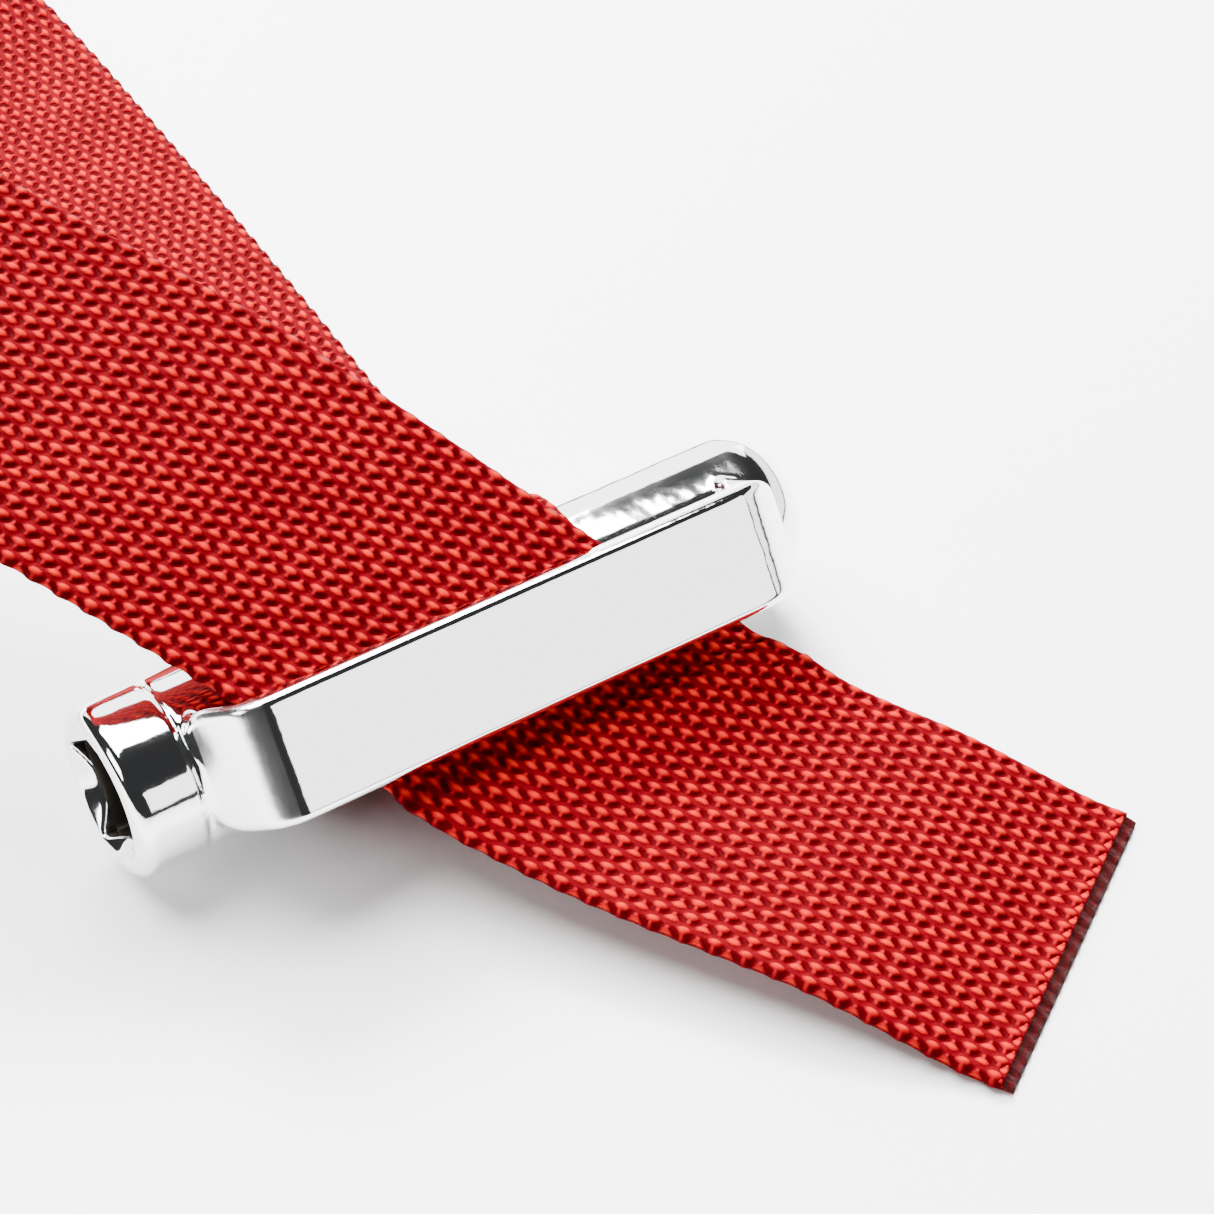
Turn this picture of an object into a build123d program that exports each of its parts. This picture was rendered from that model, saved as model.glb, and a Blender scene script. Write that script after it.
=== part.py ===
from build123d import *
from math import cos, radians, sin, sqrt
import os

# Strap wrench, in millimetres.
# Origin: centre of the square drive mouth, on the drive face.
# +X runs along the barrel to its closed end, +Z is up, the table is at z = -13.6.

# Steel forging
barrel_r = 11.1
barrel_len = 98.2
face_round = 2.2         # rim of the drive face
dome_r = 7.6             # rim of the closed end
groove_x = 8.7           # turned groove behind the drive head
groove_w = 0.8
groove_d = 0.5
drive_sq = 12.7          # half-inch square drive
drive_depth = 16.0
drive_corner = 0.8
lead_in_r = 8.6
lead_in_depth = 2.3
bar_tilt = 34.3          # bar's outward normal, in degrees above -Y
bar_w = 15.7
bar_in = 16.5            # inner face of the bar, from the barrel axis
bar_out = 20.4           # outer face of the bar, from the barrel axis
ramp_foot_x = 9.5
ramp_top_x = 14.6
bend_r = 5.6             # ramp to bar
tail_round = 10.0        # bar to closed end
bar_end_x = 91.6
slot_left_foot = 12.1
slot_left_top = 14.9
slot_right_top = 84.0
slot_right_foot = 86.0
slot_floor = 5.0         # inside the barrel
outer_edge_r = 1.0       # outer rim of the bail
inner_edge_r = 0.9       # rim of the slot
plan_round_left = 3.0    # corners of the bar seen square to its face
plan_round_right = 6.6

# Webbing strap
web_w = 47.5
web_t = 2.2
gap = 0.3                # webbing to steel, and between webbing pieces that move
eye_x = 45.5             # middle of the eye along the barrel
eye_w = 43.5             # the webbing is drawn in where it turns round the barrel
eye_leave = 25.0         # angle above +Y where the eye leaves the barrel
eye_drop = 13.35
foot_r = 6.0
lap_end = 50.0
lower_len = 150.0
stitch_l = 24.0
stitch_w = 39.0
stitch_t = 0.5
thread_w = 1.2

# Line of the lower strand on the table, seen from above
strand_points = [(45.5, 0.0), (46.3, 22.0), (48.2, 50.0), (50.8, 95.0), (52.5, 150.0)]

# Loop of the strap, from the lower strand round to the slot
loop_points = [
    (52.5, 150.0, -12.5),
    (51.0, 178.0, -10.0),
    (43.0, 203.0, 1.0),
    (27.0, 217.0, 20.0),
    (7.0, 214.0, 41.0),
    (-11.0, 195.0, 57.0),
    (-22.0, 165.0, 66.0),
    (-25.0, 130.0, 66.0),
    (-19.0, 95.0, 58.0),
    (-3.0, 60.0, 43.5),
    (18.0, 28.0, 30.5),
]
bight_share = 0.46       # part of the loop's length that is the bight

# Run through the slot and free tail
slot_in = 62.0           # angle above -Y where the strap meets the barrel
slot_out = 25.0          # angle above -Y where it leaves the barrel
slot_in_x = 42.6
slot_out_x = 50.5
slot_line = 2.0
sweep_r = 10.0
tail_slope = 17.0
tail_x = 57.5
tail_y = -22.5
tail_z = -1.2
tail_dir = (0.537, -0.843)
tail_split = 30.0
tail_len = 61.5

eye_r = barrel_r + gap + web_t / 2
slot_r = eye_r + web_t + gap
strap_z = -eye_r

os.makedirs("parts", exist_ok=True)


def section_plane(point, run):
    """A plane across the strap whose width lies along the barrel axis."""
    yz = sqrt(run.Y**2 + run.Z**2)
    return Plane(origin=point, x_dir=(1, 0, 0), z_dir=(0, run.Y / yz, run.Z / yz))


def section_width(run):
    """Width of the strap measured along the barrel axis."""
    return web_w / sqrt(1 - run.X**2)


# ---- steel forging ----
tilt = radians(bar_tilt)
bar_plane = Plane(origin=(0, 0, 0), x_dir=(1, 0, 0), z_dir=(0, -sin(tilt), -cos(tilt)))

plan_plane = Plane(origin=(0, 0, 0), x_dir=(1, 0, 0), z_dir=(0, -cos(tilt), sin(tilt)))
outward = Axis((0, 0, 0), (0, -cos(tilt), sin(tilt)))
across = Axis((0, 0, 0), (0, sin(tilt), cos(tilt)))

with BuildPart() as forged_body:
    with BuildSketch(bar_plane) as bail_outline:
        with BuildLine():
            Polyline(
                (bar_end_x, 0),
                (ramp_foot_x, 0),
                (ramp_foot_x, barrel_r - 0.4),
                (ramp_top_x, bar_out),
                (bar_end_x, bar_out),
                close=True,
            )
        make_face()
        bend = bail_outline.vertices().sort_by_distance((ramp_top_x, bar_out, 0))[0]
        fillet(bend, bend_r)
        tail_corner = bail_outline.vertices().sort_by_distance((bar_end_x, bar_out, 0))[0]
        fillet(tail_corner, tail_round)
    extrude(amount=bar_w / 2, both=True)
    with BuildSketch(plan_plane) as bar_plan:
        with Locations(((ramp_foot_x + bar_end_x) / 2, 0)):
            Rectangle(bar_end_x - ramp_foot_x, bar_w)
        left_corners = bar_plan.vertices().sort_by(Axis.X)[:2]
        fillet(left_corners, plan_round_left)
        right_corners = bar_plan.vertices().sort_by(Axis.X)[-2:]
        fillet(right_corners, plan_round_right)
    extrude(amount=bar_out + 5, mode=Mode.INTERSECT)
    rim = forged_body.edges().filter_by(outward, reverse=True).sort_by(outward)
    rim = rim.filter_by(lambda edge: (edge @ 0.5).dot(outward.direction) > barrel_r)
    rim = rim.filter_by(lambda edge: abs((edge @ 0.5).dot(across.direction)) > 1.0)
    fillet(rim, outer_edge_r)
    with BuildSketch(bar_plane) as slot_outline:
        with BuildLine():
            Polyline(
                (slot_left_foot, slot_floor),
                (slot_left_foot, barrel_r - 0.6),
                (slot_left_top, bar_in),
                (slot_right_top, bar_in),
                (slot_right_foot, barrel_r - 0.6),
                (slot_right_foot, slot_floor),
                close=True,
            )
        make_face()
        slot_corner = slot_outline.vertices().sort_by_distance((slot_right_top, bar_in, 0))[0]
        fillet(slot_corner, 2.0)
        neck_corner = slot_outline.vertices().sort_by_distance((slot_left_top, bar_in, 0))[0]
        fillet(neck_corner, 0.8)
    extrude(amount=bar_w, both=True, mode=Mode.SUBTRACT)
    slot_rim = forged_body.edges().filter_by(
        lambda edge: slot_left_foot - 0.1 < (edge @ 0.5).X < slot_right_foot + 0.1
        and slot_floor + 1 < (edge @ 0.5).dot(outward.direction) < bar_in + 0.1
        and abs((edge @ 0.5).dot(across.direction)) > 6.5
    )
    fillet(slot_rim, inner_edge_r)
    with BuildSketch(Plane.XY):
        with BuildLine():
            drive_line = Line((0, 0), (0, barrel_r - face_round))
            RadiusArc(drive_line @ 1, (face_round, barrel_r), face_round)
            Polyline(
                (face_round, barrel_r),
                (groove_x, barrel_r),
                (groove_x + 0.2, barrel_r - groove_d),
                (groove_x + groove_w - 0.2, barrel_r - groove_d),
                (groove_x + groove_w, barrel_r),
                (barrel_len - dome_r, barrel_r),
            )
            RadiusArc((barrel_len - dome_r, barrel_r), (barrel_len, barrel_r - dome_r), dome_r)
            Polyline((barrel_len, barrel_r - dome_r), (barrel_len, 0), (0, 0))
        make_face()
    revolve(axis=Axis.X)
    with BuildSketch(Plane.YZ):
        RectangleRounded(drive_sq, drive_sq, drive_corner, rotation=-bar_tilt)
    extrude(amount=drive_depth, mode=Mode.SUBTRACT)
    with BuildSketch(Plane.XY):
        with BuildLine():
            Polyline(
                (0, 0),
                (0, lead_in_r),
                (lead_in_depth, drive_sq / 2 - 0.05),
                (lead_in_depth, 0),
                close=True,
            )
        make_face()
    revolve(axis=Axis.X, mode=Mode.SUBTRACT)
forged_body.part.label = "forged_body"
export_step(forged_body.part, "parts/forged_body.step")

# ---- eye of the strap, wrapped on the barrel ----
leave = radians(eye_leave)
drop = (eye_drop * sin(leave), -eye_drop * cos(leave))
ring_span = -270 + eye_leave
foot_x = (eye_r + foot_r) * cos(leave) + drop[0]
foot_y = (eye_r + foot_r) * sin(leave) + drop[1]
eye_plane = Plane(origin=(eye_x - eye_w / 2, 0, 0), x_dir=(0, 1, 0), z_dir=(1, 0, 0))

with BuildPart() as sewn_eye:
    with BuildSketch(eye_plane):
        with BuildLine():
            ring_out = CenterArc((0, 0), eye_r + web_t / 2, -90, ring_span)
            drop_out = Line(ring_out @ 1, ring_out @ 1 + Vector(*drop))
            foot_out = CenterArc((foot_x, foot_y), foot_r - web_t / 2, 180 + eye_leave, 90 - eye_leave)
            ring_in = CenterArc((0, 0), eye_r - web_t / 2, -90, ring_span)
            drop_in = Line(ring_in @ 1, ring_in @ 1 + Vector(*drop))
            foot_in = CenterArc((foot_x, foot_y), foot_r + web_t / 2, 180 + eye_leave, 90 - eye_leave)
            Line(ring_out @ 0, ring_in @ 0)
            Line(foot_out @ 1, foot_in @ 1)
        make_face()
    extrude(amount=eye_w)
sewn_eye.part.label = "sewn_eye"
export_step(sewn_eye.part, "parts/sewn_eye.step")

lap_z = foot_y - foot_r
strand = Spline(*strand_points, tangents=[(0.03, 1), (0.03, 1)])
lap_from = foot_x / lower_len
lap_to = lap_end / lower_len

with BuildPart() as eye_lap:
    for step in range(5):
        share = lap_from + (lap_to - lap_from) * step / 4
        spot = Vector((strand @ share).X, foot_x + (lap_end - foot_x) * step / 4, lap_z)
        with BuildSketch(section_plane(spot, strand % share)):
            Rectangle(section_width(strand % share), web_t)
    loft(ruled=True)
eye_lap.part.label = "eye_lap"
export_step(eye_lap.part, "parts/eye_lap.step")

# ---- box-and-cross stitching on the lap ----
stitch_y = lap_end - stitch_l / 2 - 2.5
stitch_x = (strand @ (stitch_y / lower_len)).X
with BuildPart() as lap_stitching:
    with BuildSketch(Plane(origin=(stitch_x, stitch_y, lap_z + web_t / 2))):
        Rectangle(stitch_w, stitch_l)
        Rectangle(stitch_w - 2 * thread_w, stitch_l - 2 * thread_w, mode=Mode.SUBTRACT)
        with BuildLine():
            Line((-stitch_w / 2 + 1, -stitch_l / 2 + 1), (stitch_w / 2 - 1, stitch_l / 2 - 1))
        trace(line_width=thread_w)
        with BuildLine():
            Line((-stitch_w / 2 + 1, stitch_l / 2 - 1), (stitch_w / 2 - 1, -stitch_l / 2 + 1))
        trace(line_width=thread_w)
    extrude(amount=stitch_t)
lap_stitching.part.label = "lap_stitching"
export_step(lap_stitching.part, "parts/lap_stitching.step")

# ---- lower strand, flat on the table ----
with BuildPart() as lower_strand:
    for step in range(13):
        share = (1 - gap / lower_len) * step / 12
        spot = strand @ share + Vector(0, 0, strap_z)
        with BuildSketch(section_plane(spot, strand % share)):
            Rectangle(section_width(strand % share), web_t)
    loft(ruled=True)
lower_strand.part.label = "lower_strand"
export_step(lower_strand.part, "parts/lower_strand.step")

# ---- loop: bight, then the upper strand back to the slot ----
enter = radians(slot_in)
slot_start = Vector(slot_in_x, -slot_r * cos(enter), slot_r * sin(enter))
loop_end = Vector(0.57, -sin(enter), -cos(enter)).normalized()
loop = Spline(*loop_points, slot_start, tangents=[(0.03, 1, 0), loop_end])
bight_gap = gap / loop.length

with BuildPart() as loop_bight:
    for step in range(15):
        share = bight_share * step / 14
        with BuildSketch(section_plane(loop @ share, loop % share)):
            Rectangle(section_width(loop % share), web_t)
    loft(ruled=True)
loop_bight.part.label = "loop_bight"
export_step(loop_bight.part, "parts/loop_bight.step")

with BuildPart() as upper_strand:
    for step in range(15):
        share = bight_share + bight_gap + (1 - bight_share - bight_gap) * step / 14
        with BuildSketch(section_plane(loop @ share, loop % share)):
            Rectangle(section_width(loop % share), web_t)
    loft(ruled=True)
upper_strand.part.label = "upper_strand"
export_step(upper_strand.part, "parts/upper_strand.step")

# ---- run between the barrel and the bar ----
slot_width = section_width(loop_end)
exit_angle = radians(slot_out)
exit_y = -slot_r * cos(exit_angle) - slot_line * sin(exit_angle)
exit_z = slot_r * sin(exit_angle) - slot_line * cos(exit_angle)
exit_x = slot_out_x + 1.0

with BuildPart() as slot_run:
    for step in range(7):
        angle = radians(slot_in + (slot_out - slot_in) * step / 6)
        spot = Vector(
            slot_in_x + (slot_out_x - slot_in_x) * step / 6,
            -slot_r * cos(angle),
            slot_r * sin(angle),
        )
        with BuildSketch(section_plane(spot, Vector(0, -sin(angle), -cos(angle)))):
            Rectangle(slot_width, web_t)
    for step in range(7):
        down = radians(90 - slot_out + (tail_slope - 90 + slot_out) * step / 6)
        spot = Vector(
            exit_x + (tail_x - 1.2 - exit_x) * step / 6,
            exit_y - sweep_r * (cos(exit_angle) - sin(down)),
            exit_z - sweep_r * (cos(down) - sin(exit_angle)),
        )
        with BuildSketch(section_plane(spot, Vector(0, -cos(down), -sin(down)))):
            Rectangle(slot_width, web_t)
    mouth = Vector(0, -cos(radians(tail_slope)), -sin(radians(tail_slope)))
    with BuildSketch(section_plane(Vector(tail_x, tail_y, tail_z), mouth)):
        Rectangle(slot_width, web_t)
    loft(ruled=True)
slot_run.part.label = "slot_run"
export_step(slot_run.part, "parts/slot_run.step")

# ---- free tail ----
# (distance along the tail, drop below the slot mouth, slope in degrees)
tail_profile = [
    (0.0, 0.0, 17.0),
    (8.0, 2.3, 15.0),
    (16.0, 4.1, 9.0),
    (23.0, 4.9, 5.0),
    (30.0, 5.5, 5.0),
    (37.0, 6.3, 9.0),
    (44.0, 7.9, 14.0),
    (51.0, 9.8, 14.0),
    (56.5, 11.0, 8.0),
    (61.5, 11.3, 0.0),
]


def tail_section(reach, fall, slope):
    """Plane across the tail, turned from the slot's line to square across the strap."""
    turn = min(1.0, reach / tail_split)
    across = Vector(1, 0, 0) * (1 - turn) + Vector(-tail_dir[1], tail_dir[0], 0) * turn
    across = across.normalized()
    level = Vector(across.Y, -across.X, 0)
    run = level * cos(radians(slope)) - Vector(0, 0, sin(radians(slope)))
    spot = Vector(tail_x + tail_dir[0] * reach, tail_y + tail_dir[1] * reach, tail_z - fall)
    return Plane(origin=spot, x_dir=across, z_dir=run)


def tail_width(reach):
    turn = min(1.0, reach / tail_split)
    return slot_width + (web_w - slot_width) * turn


with BuildPart() as tail_run:
    for reach, fall, slope in tail_profile[:5]:
        with BuildSketch(tail_section(reach, fall, slope)):
            Rectangle(tail_width(reach), web_t)
    loft(ruled=True)
tail_run.part.label = "tail_run"
export_step(tail_run.part, "parts/tail_run.step")

with BuildPart() as tail_end:
    with BuildSketch(tail_section(tail_split + gap, 5.55, 5.0)):
        Rectangle(web_w, web_t)
    for reach, fall, slope in tail_profile[5:]:
        with BuildSketch(tail_section(reach, fall, slope)):
            Rectangle(web_w, web_t)
    loft(ruled=True)
tail_end.part.label = "tail_end"
export_step(tail_end.part, "parts/tail_end.step")
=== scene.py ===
import math
import random

import bpy
import numpy as np
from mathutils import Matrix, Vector


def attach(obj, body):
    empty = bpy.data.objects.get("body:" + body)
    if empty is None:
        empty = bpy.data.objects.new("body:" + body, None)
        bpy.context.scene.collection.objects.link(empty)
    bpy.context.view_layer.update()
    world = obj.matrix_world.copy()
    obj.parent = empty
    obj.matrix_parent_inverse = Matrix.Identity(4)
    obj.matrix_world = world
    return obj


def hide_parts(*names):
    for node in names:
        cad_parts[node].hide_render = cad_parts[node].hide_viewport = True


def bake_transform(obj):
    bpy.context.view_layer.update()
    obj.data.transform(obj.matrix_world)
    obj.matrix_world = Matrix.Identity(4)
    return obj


# Strap wrench on a pale table.  Metres; the origin is the middle of the drive mouth,
# +X along the barrel, +Z up, the table at z = -0.0136.

# The straps, camera and table are laid out in millimetres and turned to metres with MM;
# lights and materials are in metres.

MM = 0.001
FLOOR_Z = -13.6
STEP = 0.36  # between rows of the straps' meshes

# webbing
WEB_W = 46.9
WEB_T = 2.2
COLUMNS = 21
COLUMN = WEB_W / COLUMNS  # repeat of the weave across
PERIOD = 3.96  # repeat of the weave along
RELIEF = 0.5
UNDERSIDE = 200.0  # shifts the weave's pattern on the lower face
FLOAT_HALF = 1.15  # half length of a float along the strap
FLOAT_BLUNT = 0.52  # its reach across to the blunt side
FLOAT_SHARP = 0.7  # and to the pointed side
STEM_HALF = 0.36
STEM_AT = 0.6
STEM_REACH = 0.7
PIT_ALONG = 0.95
PIT_ACROSS = 0.68
SELVAGE = 1.1  # rounding of the woven edge
BEVEL = 2.4  # slope of the sealed cut

# eye round the barrel; angles run from +Y over the top of the barrel
EYE_R = 12.5
EYE_FOOT_R = 6.0
EYE_DROP = 13.35
EYE_LEAVE = math.radians(25.0)
EYE_FOOT_X = 45.2
EYE_LEAVE_X = 44.9
EYE_TOP_X = 44.4
LAP_END_Y = 50.0
STITCH_Y = (24.0, 47.0)
STITCH_HALF = 19.0  # half width of the stitched box
STITCH = 2.7  # length of one stitch with its gap
PRESS_IN = 0.045  # share of the radius that the eye is drawn in under the bar
PRESS_THIN = 0.30  # share of the thickness lost there

# run through the slot; angles run from -Y upwards
SLOT_R = 15.0
SLOT_IN = math.radians(62.0)
SLOT_SEAM = math.radians(38.0)
SLOT_OUT = math.radians(25.0)
SLOT_IN_X = 41.0
SLOT_OUT_X = 50.5

# bend of the tail over the lower edge of the bar
TAIL_ARC_X = 51.3
LIP = 2.0
BEND_R = 10.0
BEND_X = (52.2, 56.4)
BEND_END = math.radians(17.0)

# free tail
TAIL_AT = np.array([57.5, -22.5, -1.2])
TAIL_DIR = np.array([0.5373, -0.8434, 0.0])
TAIL_SIDE = np.array([0.8434, 0.5373, 0.0])
TAIL_SQUARE = 30.0  # length over which the tail turns square to its own line
TAIL_LEN = 61.4

LOOP_POINTS = [
    (52.5, 150.0, -12.5),
    (51.0, 178.0, -10.0),
    (43.0, 203.0, 1.0),
    (27.0, 217.0, 20.0),
    (7.0, 214.0, 41.0),
    (-11.0, 195.0, 57.0),
    (-22.0, 165.0, 66.0),
    (-25.0, 130.0, 66.0),
    (-19.0, 95.0, 58.0),
    (-3.0, 60.0, 43.5),
    (18.0, 28.0, 30.5),
]
# line of the lower strand on the table
STRAND_POINTS = [
    (47.0, 0.0, -12.5),
    (47.4, 22.0, -12.5),
    (48.6, 50.0, -12.5),
    (50.8, 95.0, -12.5),
    (52.5, 150.0, -12.5),
]
# distance along the free tail, drop below TAIL_AT
TAIL_PROFILE = [
    (0.0, 0.0),
    (8.0, 2.3),
    (16.0, 4.1),
    (23.0, 4.9),
    (30.0, 5.5),
    (37.0, 6.3),
    (44.0, 7.9),
    (51.0, 9.8),
    (56.5, 11.0),
    (61.5, 11.3),
]

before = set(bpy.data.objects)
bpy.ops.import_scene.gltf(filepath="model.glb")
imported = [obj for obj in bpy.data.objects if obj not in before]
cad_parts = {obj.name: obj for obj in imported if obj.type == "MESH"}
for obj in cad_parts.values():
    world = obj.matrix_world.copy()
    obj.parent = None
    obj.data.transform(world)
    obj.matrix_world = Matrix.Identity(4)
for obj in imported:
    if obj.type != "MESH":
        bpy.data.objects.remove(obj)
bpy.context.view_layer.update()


def add(name, data):
    """An object that holds data, linked to the scene."""
    made = bpy.data.objects.new(name, data)
    bpy.context.scene.collection.objects.link(made)
    return made


# ---------------------------------------------------------------- camera

camera = add("camera", bpy.data.cameras.new("camera"))
camera.data.sensor_width = 36.0
camera.data.lens = 95.7
camera.location = Vector((-91.3, -251.9, 283.7)) * MM
aim = Vector((76.1, 6.3, -13.5)) * MM - camera.location
camera.rotation_euler = aim.to_track_quat("-Z", "Y").to_euler()
camera.data.clip_start = 0.01
camera.data.clip_end = 50.0
bpy.context.scene.camera = camera


# ---------------------------------------------------------------- curve helpers


def spline(points, start, end, step=0.4):
    """Smooth curve through the points, leaving along start and arriving along end."""
    p = np.array(points, float)
    h = np.linalg.norm(np.diff(p, axis=0), axis=1)
    n = len(p)
    a = np.zeros((n, n))
    r = np.zeros((n, 3))
    a[0, 0] = a[-1, -1] = 1.0
    r[0] = np.array(start) / np.linalg.norm(start)
    r[-1] = np.array(end) / np.linalg.norm(end)
    for i in range(1, n - 1):
        a[i, i - 1] = h[i]
        a[i, i] = 2 * (h[i - 1] + h[i])
        a[i, i + 1] = h[i - 1]
        r[i] = 3 * (h[i] * (p[i] - p[i - 1]) / h[i - 1] + h[i - 1] * (p[i + 1] - p[i]) / h[i])
    m = np.linalg.solve(a, r)
    out = []
    for i in range(n - 1):
        t = np.arange(0.0, 1.0, step / h[i])[:, None]
        out.append(
            (2 * t**3 - 3 * t**2 + 1) * p[i]
            + (t**3 - 2 * t**2 + t) * h[i] * m[i]
            + (3 * t**2 - 2 * t**3) * p[i + 1]
            + (t**3 - t**2) * h[i] * m[i + 1]
        )
    out.append(p[-1:])
    return np.vstack(out)


def evenly(path, step):
    """The same path with points at equal distances."""
    run = np.concatenate([[0], np.cumsum(np.linalg.norm(np.diff(path, axis=0), axis=1))])
    count = int(round(run[-1] / step)) + 1
    s = np.linspace(0, run[-1], count)
    return np.column_stack([np.interp(s, run, path[:, k]) for k in range(3)]), s


def arc(centre, radius, start, end, x0, x1, count=60):
    """Arc in a plane across the barrel, with x moving from x0 to x1."""
    a = np.linspace(start, end, count)
    return np.column_stack(
        [
            np.linspace(x0, x1, count),
            centre[0] + radius * np.cos(a),
            centre[1] + radius * np.sin(a),
        ]
    )


def smooth(rows, passes):
    """The same path with its kinks evened out."""
    out = rows.copy()
    for _ in range(passes):
        out[1:-1] = out[1:-1] * 0.5 + (out[:-2] + out[2:]) * 0.25
    return out


# ---------------------------------------------------------------- webbing


def cell(t, w, shift, flip):
    """One half of the weave: a float whose waist runs on to the next float as a stem."""
    dt = (np.mod(t / PERIOD + shift + 0.5, 1.0) - 0.5) * PERIOD
    s = (np.mod(w / COLUMN + shift + 0.5, 1.0) - 0.5) * COLUMN * flip
    taper = np.sqrt(np.clip(1 - (np.minimum(s, 0) / FLOAT_BLUNT) ** 2, 0, 1))
    taper = taper * np.clip(1 - np.maximum(s, 0) / FLOAT_SHARP, 0, 1)
    reach = FLOAT_HALF * taper**0.6 + 0.001
    cap = np.clip(1 - (dt / reach) ** 2, 0, 1) ** 0.5 * taper**0.35
    window = np.clip(1.4 - np.abs(s - STEM_AT) / STEM_REACH, 0, 1)
    stem = np.sqrt(np.clip(1 - (dt / STEM_HALF) ** 2, 0, 1)) * window
    return np.maximum(cap, 0.75 * stem)


def weave(t, w):
    """Height from 0 to 1 of the woven face at t along and w across the strap."""
    dt = (np.mod(t * 2 / PERIOD, 1.0) - 0.5) * PERIOD / 2
    s = (np.mod(w / COLUMN + 0.75, 1.0) - 0.5) * COLUMN
    pit = np.clip(1 - (dt / PIT_ALONG) ** 2, 0, 1) * np.clip(1 - (s / PIT_ACROSS) ** 2, 0, 1)
    pit = np.sqrt(pit)
    floats = np.maximum(cell(t, w, 0.0, -1), cell(t, w, 0.5, 1))
    return np.maximum(floats, 0.42 * (1 - pit))


def strap(name, path, across, slant, drawn_in, thin, bevelled=False):
    """A woven strap along path.  across gives each row's direction, slant its steepest lean,
    drawn_in its share of the full width and thin its share of the full thickness.  The end
    faces take the second material."""
    count = len(path)
    run = np.concatenate([[0], np.cumsum(np.linalg.norm(np.diff(path, axis=0), axis=1))])
    tangent = np.gradient(path, axis=0)
    tangent /= np.linalg.norm(tangent, axis=1)[:, None]
    along = np.clip(np.sum(tangent * across, axis=1), -slant, slant)
    square = np.sqrt(1 - along**2)
    normal = np.cross(tangent, across)
    normal /= np.linalg.norm(normal, axis=1)[:, None]
    cells = COLUMNS * 6
    w = np.linspace(-WEB_W / 2, WEB_W / 2, cells + 1)
    edge = np.clip((np.abs(w) - (WEB_W / 2 - SELVAGE)) / SELVAGE, 0, 1)
    body = np.sqrt(np.clip(1 - edge**2, 0.0, 1))
    v = w[None, :] * (drawn_in / square)[:, None]
    t = run[:, None] + v * along[:, None]
    sheets = []
    wv = np.repeat(w[None, :], count, axis=0)
    for side, shift in ((1, 0.0), (-1, UNDERSIDE)):
        h = weave(t, wv + shift)
        half = (WEB_T / 2 - RELIEF * (1 - h)) * body[None, :] * thin[:, None]
        rim = 0.22 * edge[None, :] ** 2 * np.cos(t * 2 * math.pi / PERIOD) * np.sign(w)[None, :]
        inset = 0.22 * np.sign(w) * edge**2
        out = path[:, None, :] + across[:, None, :] * (v + rim - inset)[:, :, None]
        out = out + normal[:, None, :] * (side * half)[:, :, None]
        sheets.append(out)
    n = cells + 1
    top = np.arange(count * n).reshape(count, n)
    low = count * n + np.arange(count * (n - 2)).reshape(count, n - 2)
    low = np.hstack([top[:, :1], low, top[:, -1:]])
    uv_t = np.concatenate([t.ravel(), t[:, 1:-1].ravel()])
    uv_w = np.concatenate([wv.ravel(), wv[:, 1:-1].ravel() + UNDERSIDE])
    if bevelled:
        lean = np.clip((run - (run[-1] - 1.2)) / 1.2, 0, 1)
        sheets[0] -= tangent[:, None, :] * (BEVEL * lean)[:, None, None]
        sheets[0][:, :, 2] -= (0.25 * lean)[:, None]
    verts = np.vstack([sheets[0].reshape(-1, 3), sheets[1][:, 1:-1].reshape(-1, 3)])
    upper = np.stack([top[:-1, :-1], top[1:, :-1], top[1:, 1:], top[:-1, 1:]], -1)
    lower = np.stack([low[:-1, :-1], low[:-1, 1:], low[1:, 1:], low[1:, :-1]], -1)
    flat = np.vstack([upper.reshape(-1, 4), lower.reshape(-1, 4)])
    caps = []
    rows = 5
    for row, turned in ((0, False), (count - 1, True)):
        levels = [top[row]]
        base = len(verts)
        extra = []
        for k in range(1, rows):
            f = k / rows
            line = verts[top[row]] * (1 - f) + verts[low[row]] * f
            ripple = 0.18 * np.sin(w * 3.1 + 5 * f) * np.sin(w * 7.7 - 3 * f)
            push = ripple + 0.25 * math.sin(math.pi * f)
            line = line + tangent[row] * (push * body)[:, None] * (1 if turned else -1)
            extra.append(line)
            levels.append(base + (k - 1) * n + np.arange(n))
        verts = np.vstack([verts] + extra)
        uv_t = np.concatenate([uv_t, np.repeat(run[row] + np.arange(1, rows) * 0.4, n)])
        uv_w = np.concatenate([uv_w, np.tile(w, rows - 1)])
        levels.append(low[row])
        for a, b in zip(levels[:-1], levels[1:]):
            quad = np.stack([a[:-1], b[:-1], b[1:], a[1:]], -1)
            caps.append(quad if turned else quad[:, ::-1])
    caps = np.vstack(caps)
    faces = np.vstack([flat, caps])
    mesh = bpy.data.meshes.new(name)
    mesh.vertices.add(len(verts))
    mesh.vertices.foreach_set("co", (verts * MM).astype(np.float32).ravel())
    mesh.loops.add(len(faces) * 4)
    mesh.loops.foreach_set("vertex_index", faces.astype(np.int32).ravel())
    mesh.polygons.add(len(faces))
    mesh.polygons.foreach_set("loop_start", np.arange(0, len(faces) * 4, 4, dtype=np.int32))
    mesh.polygons.foreach_set("use_smooth", np.ones(len(faces), bool))
    index = np.zeros(len(faces), np.int32)
    index[len(flat):] = 1
    mesh.polygons.foreach_set("material_index", index)
    mesh.update(calc_edges=True)
    layer = mesh.uv_layers.new(name="cloth")
    uv = np.column_stack([uv_t, uv_w])[faces.ravel()] * 0.01
    layer.data.foreach_set("uv", uv.astype(np.float32).ravel())
    mesh.validate()
    return add(name, mesh)


# ---------------------------------------------------------------- paths

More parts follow.
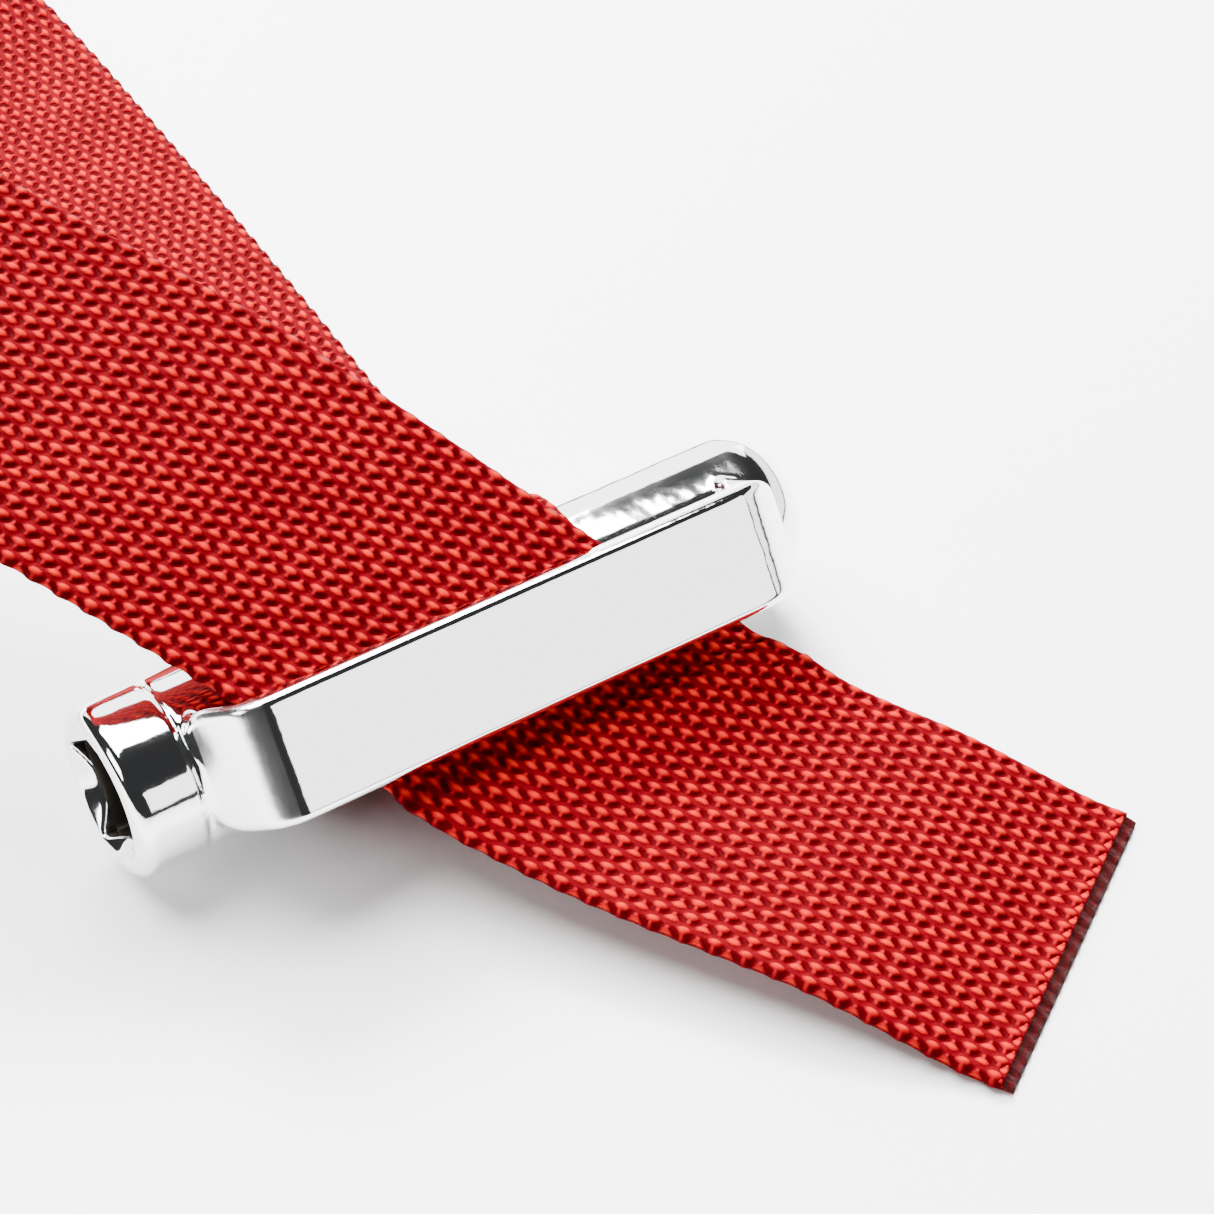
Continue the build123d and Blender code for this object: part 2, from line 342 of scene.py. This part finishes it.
# the lap turns up to the barrel round a foot
foot = (
    (EYE_R + EYE_FOOT_R) * math.cos(EYE_LEAVE) + EYE_DROP * math.sin(EYE_LEAVE),
    (EYE_R + EYE_FOOT_R) * math.sin(EYE_LEAVE) - EYE_DROP * math.cos(EYE_LEAVE),
)
lap_z = foot[1] - EYE_FOOT_R
strand = spline(STRAND_POINTS, (0.03, 1, 0), (0.03, 1, 0))
lap = strand[(strand[:, 1] > foot[0]) & (strand[:, 1] < LAP_END_Y)][::-1].copy()
lap[:, 2] = lap_z
parts = [
    lap,
    arc(foot, EYE_FOOT_R, 1.5 * math.pi, math.pi + EYE_LEAVE, lap[-1, 0], EYE_FOOT_X)[1:],
    arc((0, 0), EYE_R, EYE_LEAVE, 0.5 * math.pi, EYE_LEAVE_X, EYE_TOP_X),
    arc((0, 0), EYE_R, 0.5 * math.pi, 1.5 * math.pi, EYE_TOP_X, STRAND_POINTS[0][0], 150)[1:],
    strand[1:-2],
]
slot_start = np.array([SLOT_IN_X, -SLOT_R * math.cos(SLOT_IN), SLOT_R * math.sin(SLOT_IN)])
loop_end = np.array([0.57, -math.sin(SLOT_IN), -math.cos(SLOT_IN)])
parts.append(spline(LOOP_POINTS + [tuple(slot_start)], (0.03, 1, 0), loop_end))
share = (SLOT_IN - SLOT_SEAM) / (SLOT_IN - SLOT_OUT)
seam_x = SLOT_IN_X + (SLOT_OUT_X - SLOT_IN_X) * share
parts.append(
    arc((0, 0), SLOT_R, math.pi - SLOT_IN, math.pi - SLOT_SEAM, SLOT_IN_X, seam_x, 40)[1:]
)
loop_path, loop_s = evenly(np.vstack(parts), STEP)
loop_path = smooth(loop_path, 6)
# pulled tight on to the barrel under the bar
turned = np.degrees(np.arctan2(loop_path[:, 2], loop_path[:, 1])) % 360
on_barrel = np.hypot(loop_path[:, 1], loop_path[:, 2]) < EYE_R + 0.4
pressed = np.interp(turned, [175.0, 195.0, 240.0, 262.0], [0.0, 1.0, 1.0, 0.0]) * on_barrel
loop_path[:, 1:] *= (1 - PRESS_IN * pressed)[:, None]
loop_across = np.tile([1.0, 0.0, 0.0], (len(loop_path), 1))
loop_slant = np.interp(loop_s, loop_s[-1] - np.array([110.0, 50.0, 12.0]), [0.9, 0.5, 0.41])
# narrower round the barrel and where it enters the slot
in_eye = np.interp(loop_s, [14.0, 30.0, 95.0, 125.0], [1.0, 0.92, 0.92, 1.0])
in_eye -= np.interp(loop_s, loop_s[-1] - np.array([8.0, 0.0]), [0.0, 0.06])
thinned = 1 - PRESS_THIN * pressed
loop = strap("strap_loop", loop_path, loop_across, loop_slant, in_eye, thinned)

exit_y = -SLOT_R * math.cos(SLOT_OUT) - LIP * math.sin(SLOT_OUT)
exit_z = SLOT_R * math.sin(SLOT_OUT) - LIP * math.cos(SLOT_OUT)
down = np.linspace(math.pi / 2 - SLOT_OUT, BEND_END, 40)
bend = np.column_stack(
    [
        np.linspace(BEND_X[0], BEND_X[1], 40),
        exit_y - BEND_R * (math.cos(SLOT_OUT) - np.sin(down)),
        exit_z - BEND_R * (np.cos(down) - math.sin(SLOT_OUT)),
    ]
)
reach = np.array([p[0] for p in TAIL_PROFILE])
fall = np.array([p[1] for p in TAIL_PROFILE])
tail_points = TAIL_AT + TAIL_DIR * reach[:, None] - np.array([0, 0, 1.0]) * fall[:, None]
tail_curve = spline(tail_points, (0.53, -0.82, -0.26), (0.537, -0.843, 0.0))
slot_out = arc((0, 0), SLOT_R, math.pi - SLOT_SEAM, math.pi - SLOT_OUT, seam_x, TAIL_ARC_X, 30)
tail_path, tail_s = evenly(np.vstack([slot_out, bend, tail_curve]), STEP)
tail_path = smooth(tail_path, 6)
tail_from = len(tail_path) - int(TAIL_LEN / STEP)
turn = np.clip((np.arange(len(tail_path)) - tail_from) * STEP / TAIL_SQUARE, 0, 1)[:, None]
tail_across = np.array([1.0, 0, 0]) * (1 - turn) + TAIL_SIDE * turn
tail_across /= np.linalg.norm(tail_across, axis=1)[:, None]
in_slot = np.interp(tail_s, [0.0, 3.0, 9.0], [0.94, 0.95, 1.0])
tail_slant = np.interp(tail_s, [2.0, 18.0], [0.41, 0.49])
full = np.ones(len(tail_path))
tail = strap("strap_tail", tail_path, tail_across, tail_slant, in_slot, full, bevelled=True)

# ---------------------------------------------------------------- stitching


def stitches(name, lines, z):
    """Thread stitches laid end to end along each line, as flattened beads."""
    rng = random.Random(7)
    verts = []
    faces = []
    for (x0, y0), (x1, y1) in lines:
        length = math.hypot(x1 - x0, y1 - y0)
        count = int(length / STITCH)
        d = Vector(((x1 - x0) / length, (y1 - y0) / length, 0))
        side = Vector((-d.y, d.x, 0))
        for k in range(count):
            mid = Vector((x0, y0, z)) + d * (length * (k + 0.5) / count)
            long = 1.32 + rng.uniform(-0.06, 0.06)
            base = len(verts)
            for i in range(9):
                a = -1 + 2 * i / 8
                r = math.sqrt(max(0.0, 1 - a**4)) * 0.42
                for j in range(8):
                    b = 2 * math.pi * j / 8 + a * 1.2
                    off = side * (math.cos(b) * r * 1.15) + Vector((0, 0, math.sin(b) * r * 0.8))
                    verts.append((mid + d * (a * long) + off + Vector((0, 0, 0.12))) * MM)
            for i in range(8):
                for j in range(8):
                    q = (j + 1) % 8
                    ring = base + i * 8
                    faces.append((ring + j, ring + q, ring + 8 + q, ring + 8 + j))
    mesh = bpy.data.meshes.new(name)
    mesh.from_pydata(verts, [], faces)
    mesh.polygons.foreach_set("use_smooth", [True] * len(faces))
    mesh.update()
    return add(name, mesh)


y0, y1 = STITCH_Y
stitch_x = float(np.interp((y0 + y1) / 2, strand[:, 1], strand[:, 0]))
x0, x1 = stitch_x - STITCH_HALF, stitch_x + STITCH_HALF
box_lines = [
    ((x0, y0), (x1, y0)),
    ((x1, y0), (x1, y1)),
    ((x1, y1), (x0, y1)),
    ((x0, y1), (x0, y0)),
    ((x0, y0), (x1, y1)),
    ((x0, y1), (x1, y0)),
]
thread = stitches("lap_thread", box_lines, lap_z + WEB_T / 2)


# ---------------------------------------------------------------- materials


def material(name):
    made = bpy.data.materials.new(name)
    made.use_nodes = True
    return made, made.node_tree, made.node_tree.nodes["Principled BSDF"]


def ramp(tree, source, stops):
    node = tree.nodes.new("ShaderNodeValToRGB")
    while len(node.color_ramp.elements) > 1:
        node.color_ramp.elements.remove(node.color_ramp.elements[-1])
    node.color_ramp.elements[0].position = stops[0][0]
    node.color_ramp.elements[0].color = stops[0][1]
    for place, colour in stops[1:]:
        node.color_ramp.elements.new(place).color = colour
    tree.links.new(source, node.inputs["Fac"])
    return node.outputs["Color"]


def maths(tree, operation, a, b=None, c=None, clamp=False):
    node = tree.nodes.new("ShaderNodeMath")
    node.operation = operation
    node.use_clamp = clamp
    for k, value in enumerate((a, b, c)):
        if value is None:
            continue
        if isinstance(value, (int, float)):
            node.inputs[k].default_value = value
        else:
            tree.links.new(value, node.inputs[k])
    return node.outputs[0]


def noise(tree, vector, scale, detail=3.0, rough=0.5):
    node = tree.nodes.new("ShaderNodeTexNoise")
    node.inputs["Scale"].default_value = scale
    node.inputs["Detail"].default_value = detail
    node.inputs["Roughness"].default_value = rough
    if vector is not None:
        tree.links.new(vector, node.inputs["Vector"])
    return node.outputs["Fac"]


def mapped(tree, vector, scale, rotation=(0, 0, 0)):
    node = tree.nodes.new("ShaderNodeMapping")
    node.inputs["Scale"].default_value = scale
    node.inputs["Rotation"].default_value = rotation
    tree.links.new(vector, node.inputs["Vector"])
    return node.outputs["Vector"]


def bump(tree, shader, height, distance, strength=1.0):
    node = tree.nodes.new("ShaderNodeBump")
    node.inputs["Distance"].default_value = distance
    node.inputs["Strength"].default_value = strength
    tree.links.new(height, node.inputs["Height"])
    tree.links.new(node.outputs["Normal"], shader.inputs["Normal"])


def centred(tree, value, pitch, shift):
    """Distance from the nearest repeat of the weave."""
    turns = maths(tree, "MULTIPLY_ADD", value, 1.0 / pitch, shift + 0.5)
    return maths(tree, "MULTIPLY_ADD", maths(tree, "FRACT", turns), pitch, -0.5 * pitch)


def dome(tree, value, size):
    """Circular profile, 1 in the middle and 0 from size outwards."""
    q = maths(tree, "DIVIDE", value, size)
    fall = maths(tree, "SUBTRACT", 1.0, maths(tree, "MULTIPLY", q, q), clamp=True)
    return maths(tree, "SQRT", fall)


def cell_nodes(tree, t, w, shift, flip):
    """The same float and stem as cell(), drawn sharply."""
    dt = centred(tree, t, PERIOD, shift)
    s = maths(tree, "MULTIPLY", centred(tree, w, COLUMN, shift), float(flip))
    blunt = dome(tree, maths(tree, "MINIMUM", s, 0.0), FLOAT_BLUNT)
    sharp = maths(tree, "MAXIMUM", s, 0.0)
    sharp = maths(tree, "MULTIPLY_ADD", sharp, -1 / FLOAT_SHARP, 1.0, clamp=True)
    taper = maths(tree, "MULTIPLY", blunt, sharp)
    reach = maths(tree, "MULTIPLY_ADD", maths(tree, "POWER", taper, 0.6), FLOAT_HALF, 0.001)
    cap = dome(tree, dt, reach)
    cap = maths(tree, "MULTIPLY", cap, maths(tree, "POWER", taper, 0.35))
    window = maths(tree, "ABSOLUTE", maths(tree, "SUBTRACT", s, STEM_AT))
    window = maths(tree, "MULTIPLY_ADD", window, -1 / STEM_REACH, 1.4, clamp=True)
    stem = maths(tree, "MULTIPLY", dome(tree, dt, STEM_HALF), window)
    return maths(tree, "MAXIMUM", cap, maths(tree, "MULTIPLY", stem, 0.75))


def webbing_material(name):
    made, tree, shader = material(name)
    uv = tree.nodes.new("ShaderNodeUVMap")
    uv.uv_map = "cloth"
    split = tree.nodes.new("ShaderNodeSeparateXYZ")
    tree.links.new(uv.outputs["UV"], split.inputs["Vector"])
    jitter = noise(tree, uv.outputs["UV"], 55.0, 2.0)
    other = noise(tree, mapped(tree, uv.outputs["UV"], (1, 1, 1), (0, 0, 1.1)), 60.0, 2.0)
    t = maths(tree, "MULTIPLY_ADD", split.outputs["X"], 100.0, maths(tree, "MULTIPLY", jitter, 0.5))
    t = maths(tree, "SUBTRACT", t, 0.25)
    w = maths(tree, "MULTIPLY_ADD", split.outputs["Y"], 100.0, maths(tree, "MULTIPLY", other, 0.36))
    w = maths(tree, "SUBTRACT", w, 0.18)
    fibre = noise(tree, mapped(tree, uv.outputs["UV"], (90, 900, 1), (0, 0, 0.45)), 2.2, 3.0)
    patch = noise(tree, uv.outputs["UV"], 9.0, 2.0)
    float_a = cell_nodes(tree, t, w, 0.0, -1)
    float_b = cell_nodes(tree, t, w, 0.5, 1)
    height = maths(tree, "MAXIMUM", float_a, float_b)
    pit = dome(tree, centred(tree, t, PERIOD / 2, 0.5), PIT_ALONG)
    pit_side = dome(tree, centred(tree, w, COLUMN, 0.25), PIT_ACROSS)
    pit = maths(tree, "MULTIPLY", pit, pit_side)
    ground = maths(tree, "MULTIPLY_ADD", fibre, 0.25, 0.32)
    ground = maths(tree, "MULTIPLY", ground, maths(tree, "SUBTRACT", 1.0, pit))
    height = maths(tree, "MAXIMUM", height, ground)
    # drives the colour below: painted shade darkens the pits and the low ground between the floats, and
    # a painted highlight turns the float tops orange; the fibre and patch noise add the webbing's own
    # uneven tone
    relief_shade_and_tone = maths(tree, "MULTIPLY_ADD", maths(tree, "SUBTRACT", fibre, 0.5), 0.45, height)
    relief_shade_and_tone = maths(tree, "MULTIPLY_ADD", maths(tree, "SUBTRACT", patch, 0.5), 0.3, relief_shade_and_tone)
    colour = ramp(
        tree,
        relief_shade_and_tone,
        [
            (0.04, (0.046, 0.0001, 0.0014, 1)),
            (0.28, (0.078, 0.0001, 0.0026, 1)),
            (0.55, (0.140, 0.0002, 0.0044, 1)),
            (0.78, (0.280, 0.0020, 0.0050, 1)),
            (1.00, (0.520, 0.0110, 0.0050, 1)),
        ],
    )
    tree.links.new(colour, shader.inputs["Base Color"])
    shader.inputs["Roughness"].default_value = 0.45
    shader.inputs["Specular IOR Level"].default_value = 0.02
    shader.inputs["Specular Tint"].default_value = (1.0, 0.25, 0.15, 1)
    relief = maths(tree, "MULTIPLY_ADD", fibre, 0.22, height)
    bump(tree, shader, relief, 0.00035, 0.7)
    return made


def seal_material():
    made, tree, shader = material("sealed_cut")
    uv = tree.nodes.new("ShaderNodeUVMap")
    uv.uv_map = "cloth"
    streak = noise(tree, mapped(tree, uv.outputs["UV"], (30, 160, 1), (0, 0, 0.35)), 4.0, 4.0)
    colour = ramp(
        tree,
        streak,
        [
            (0.3, (0.018, 0.0004, 0.0010, 1)),
            (0.55, (0.080, 0.0010, 0.0025, 1)),
            (0.75, (0.200, 0.0040, 0.0050, 1)),
        ],
    )
    tree.links.new(colour, shader.inputs["Base Color"])
    shader.inputs["Roughness"].default_value = 0.38
    shader.inputs["Specular IOR Level"].default_value = 0.15
    bump(tree, shader, streak, 0.0004, 0.9)
    return made


def chrome_material():
    made, tree, shader = material("bright_chrome")
    place = tree.nodes.new("ShaderNodeTexCoord")
    split = tree.nodes.new("ShaderNodeSeparateXYZ")
    tree.links.new(place.outputs["Object"], split.inputs["Vector"])
    x, y, z = split.outputs
    radius = maths(
        tree,
        "SQRT",
        maths(tree, "ADD", maths(tree, "MULTIPLY", y, y), maths(tree, "MULTIPLY", z, z)),
    )
    # inside of the socket, coloured dark as painted shade and made rougher
    near_axis = maths(tree, "LESS_THAN", radius, 0.00895)
    behind_face = maths(tree, "GREATER_THAN", x, 0.0021)
    in_front = maths(tree, "LESS_THAN", x, 0.018)
    shaded_socket = maths(tree, "MULTIPLY", maths(tree, "MULTIPLY", near_axis, behind_face), in_front)
    # ground ramp between the drive head and the bar
    outward = maths(tree, "ADD", maths(tree, "MULTIPLY", y, -0.8261), maths(tree, "MULTIPLY", z, 0.5635))
    ramp_x = maths(tree, "LESS_THAN", x, 0.0165)
    ramp_up = maths(tree, "GREATER_THAN", outward, 0.0118)
    ground = maths(tree, "MULTIPLY", ramp_x, ramp_up)
    lines = noise(tree, mapped(tree, place.outputs["Object"], (6000, 500, 500), (0, 0, 0)), 1.0, 4.0)
    cloud = noise(tree, place.outputs["Object"], 90.0, 3.0)
    pits = noise(tree, place.outputs["Object"], 900.0, 2.0)
    rough = maths(tree, "MULTIPLY_ADD", cloud, 0.06, 0.035)
    brushed = maths(tree, "MULTIPLY_ADD", lines, 0.10, 0.08)
    rough = maths(tree, "ADD", rough, maths(tree, "MULTIPLY", ground, brushed))
    rough = maths(tree, "ADD", rough, maths(tree, "MULTIPLY", shaded_socket, 0.3))
    tree.links.new(rough, shader.inputs["Roughness"])
    # near-white chrome, turned dark brown-grey inside the socket as painted shade
    colour = ramp(
        tree,
        shaded_socket,
        [(0.0, (0.93, 0.93, 0.94, 1)), (1.0, (0.085, 0.075, 0.062, 1))],
    )
    tree.links.new(colour, shader.inputs["Base Color"])
    shader.inputs["Metallic"].default_value = 1.0
    waves = maths(tree, "MULTIPLY_ADD", cloud, 1.0, maths(tree, "MULTIPLY", pits, 0.03))
    bump(tree, shader, waves, 0.00035, 0.5)
    return made


def thread_material():
    made, tree, shader = material("sewing_thread")
    place = tree.nodes.new("ShaderNodeTexCoord")
    twist = noise(tree, mapped(tree, place.outputs["Object"], (900, 900, 900)), 2.0, 3.0)
    colour = ramp(tree, twist, [(0.3, (0.10, 0.001, 0.002, 1)), (0.7, (0.32, 0.006, 0.005, 1))])
    tree.links.new(colour, shader.inputs["Base Color"])
    shader.inputs["Roughness"].default_value = 0.4
    bump(tree, shader, twist, 0.0001, 0.7)
    return made


web = webbing_material("red_webbing")
seal = seal_material()
chrome = chrome_material()
for piece in (loop, tail):
    piece.data.materials.append(web)
    piece.data.materials.append(seal)
thread.data.materials.append(thread_material())

# ---------------------------------------------------------------- forging

cad_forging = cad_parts["forged_body"]
forging = cad_forging.copy()
forging.data = cad_forging.data.copy()
forging.name = "chrome_forging"
forging.parent = None
for key in list(forging.keys()):
    del forging[key]
bpy.context.scene.collection.objects.link(forging)
remesh = forging.modifiers.new("even", "REMESH")
remesh.mode = "VOXEL"
remesh.voxel_size = 0.00025
soften = forging.modifiers.new("soften", "SMOOTH")
soften.factor = 0.6
soften.iterations = 12
bpy.context.view_layer.objects.active = forging
bpy.ops.object.select_all(action="DESELECT")
forging.select_set(True)
bpy.ops.object.modifier_apply(modifier="even")
bpy.ops.object.modifier_apply(modifier="soften")
bpy.ops.object.shade_smooth()
forging.data.materials.clear()
forging.data.materials.append(chrome)

# ---------------------------------------------------------------- what moves with what

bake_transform(loop)
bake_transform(tail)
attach(thread, "webbing")
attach(forging, "steel_body")
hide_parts("forged_body")
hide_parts("sewn_eye", "eye_lap", "lower_strand", "loop_bight", "upper_strand")
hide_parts("slot_run", "tail_run", "tail_end")
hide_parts("lap_stitching")

# ---------------------------------------------------------------- table and light

bpy.ops.mesh.primitive_plane_add(size=6.0, location=(0, 0, FLOOR_Z * MM))
floor = bpy.context.object
floor.name = "table"
paper, tree, shader = material("white_paper")
shader.inputs["Base Color"].default_value = (0.93, 0.93, 0.93, 1)
shader.inputs["Roughness"].default_value = 0.55
floor.data.materials.append(paper)


def softbox(name, place, size, power):
    """A white area light that faces AIM."""
    light = bpy.data.lights.new(name, "AREA")
    light.shape = "RECTANGLE"
    light.size, light.size_y = size
    light.energy = power
    lamp = add(name, light)
    lamp.location = place
    lamp.rotation_euler = (Vector(AIM) - Vector(place)).to_track_quat("-Z", "Y").to_euler()


AIM = (0.05, 0.0, 0.0)
softbox("top_box", (0.0, 0.40, 0.95), (1.1, 0.9), 62.0)
softbox("key_box", (0.32, 0.85, 0.85), (0.4, 0.35), 54.0)
softbox("back_box", (0.5, 1.5, 0.55), (2.2, 1.0), 34.0)
softbox("left_box", (-0.95, 0.10, 0.50), (0.5, 0.4), 6.0)
softbox("right_box", (1.35, 0.10, 0.30), (2.2, 0.5), 10.0)
softbox("front_box", (0.62, -1.0, 0.42), (1.04, 0.6), 7.0)

world = bpy.data.worlds.new("studio")
bpy.context.scene.world = world
world.use_nodes = True
sky = world.node_tree.nodes["Background"]
sky.inputs["Color"].default_value = (0.9, 0.92, 0.95, 1)
sky.inputs["Strength"].default_value = 0.04
